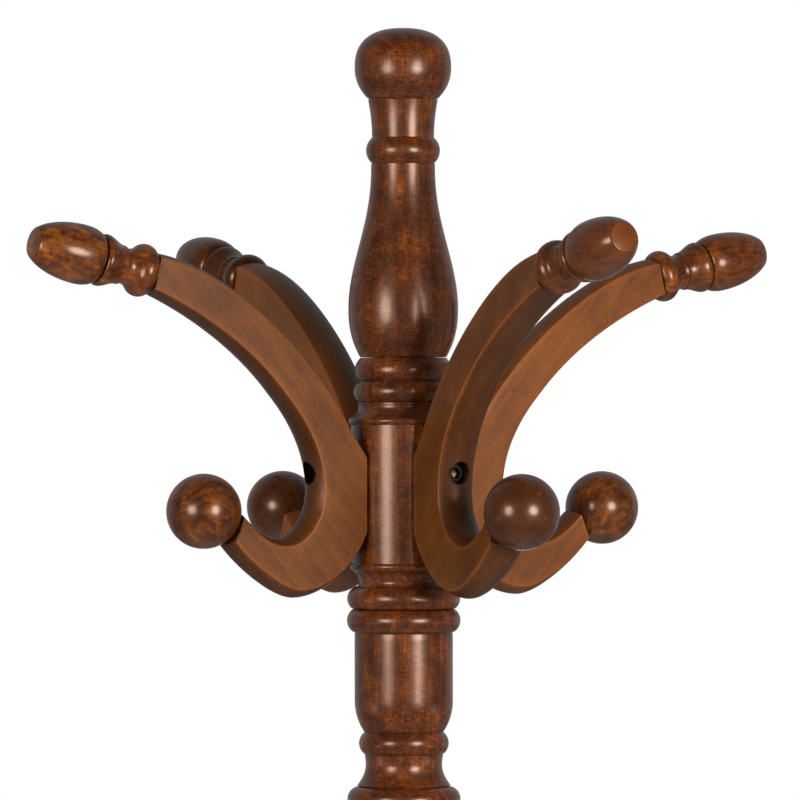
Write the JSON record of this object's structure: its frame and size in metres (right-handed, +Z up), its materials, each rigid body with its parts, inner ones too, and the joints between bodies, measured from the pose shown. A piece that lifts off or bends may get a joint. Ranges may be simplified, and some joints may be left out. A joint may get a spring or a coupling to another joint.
{
  "type": "standing coat rack",
  "caption": "Free-standing turned wooden post with a knob finial, bolted double-hook arms tipped with acorns and balls, and S-curved legs.",
  "frame": {"origin": "on the floor, on the axis of the post", "axes": "+Z up along the post; the legs and arms 1 and 4 point along -Y, +X, +Y and -X, and arms 2 and 3 stand 3 degrees off +X and +Y"},
  "size_m": [0.504, 0.504, 1.83],
  "materials": {
    "walnut_post": "turned hardwood, dark walnut stain, gloss lacquer",
    "walnut_arm": "flat-sawn hardwood, walnut stain, satin lacquer",
    "walnut_knob": "turned hardwood, very dark walnut stain, gloss lacquer",
    "steel": "black oxide",
    "brass": "plain turned",
    "beech": "unfinished",
    "pad": "dark moulded rubber"
  },
  "bodies": {
    "root": {"top_finial": "walnut_post", "hook_hub": "walnut_post", "upper_post": "walnut_post", "lower_post": "walnut_post", "leg_hub": "walnut_post", "bottom_drop": "walnut_knob", "finial_stud": "steel", "finial_stud_insert": "brass", "hook_hub_stud": "steel", "hook_hub_stud_insert": "brass", "mid_post_stud": "steel", "mid_post_stud_insert": "brass", "leg_hub_stud": "steel", "leg_hub_stud_insert": "brass", "hook_arm_1": "walnut_arm", "acorn_tip_1": "walnut_knob", "hook_ball_1": "walnut_knob", "arm_bolt_1": "steel", "arm_insert_1": "brass", "arm_dowel_1": "beech", "leg_1": "walnut_arm", "leg_bolt_1": "steel", "leg_insert_1": "brass", "leg_dowel_1": "beech", "foot_pad_1": "pad", "hook_arm_2": "walnut_arm", "acorn_tip_2": "walnut_knob", "hook_ball_2": "walnut_knob", "arm_bolt_2": "steel", "arm_insert_2": "brass", "arm_dowel_2": "beech", "leg_2": "walnut_arm", "leg_bolt_2": "steel", "leg_insert_2": "brass", "leg_dowel_2": "beech", "foot_pad_2": "pad", "hook_arm_3": "walnut_arm", "acorn_tip_3": "walnut_knob", "hook_ball_3": "walnut_knob", "arm_bolt_3": "steel", "arm_insert_3": "brass", "arm_dowel_3": "beech", "leg_3": "walnut_arm", "leg_bolt_3": "steel", "leg_insert_3": "brass", "leg_dowel_3": "beech", "foot_pad_3": "pad", "hook_arm_4": "walnut_arm", "acorn_tip_4": "walnut_knob", "hook_ball_4": "walnut_knob", "arm_bolt_4": "steel", "arm_insert_4": "brass", "arm_dowel_4": "beech", "leg_4": "walnut_arm", "leg_bolt_4": "steel", "leg_insert_4": "brass", "leg_dowel_4": "beech", "foot_pad_4": "pad"}
  },
  "joints": []
}
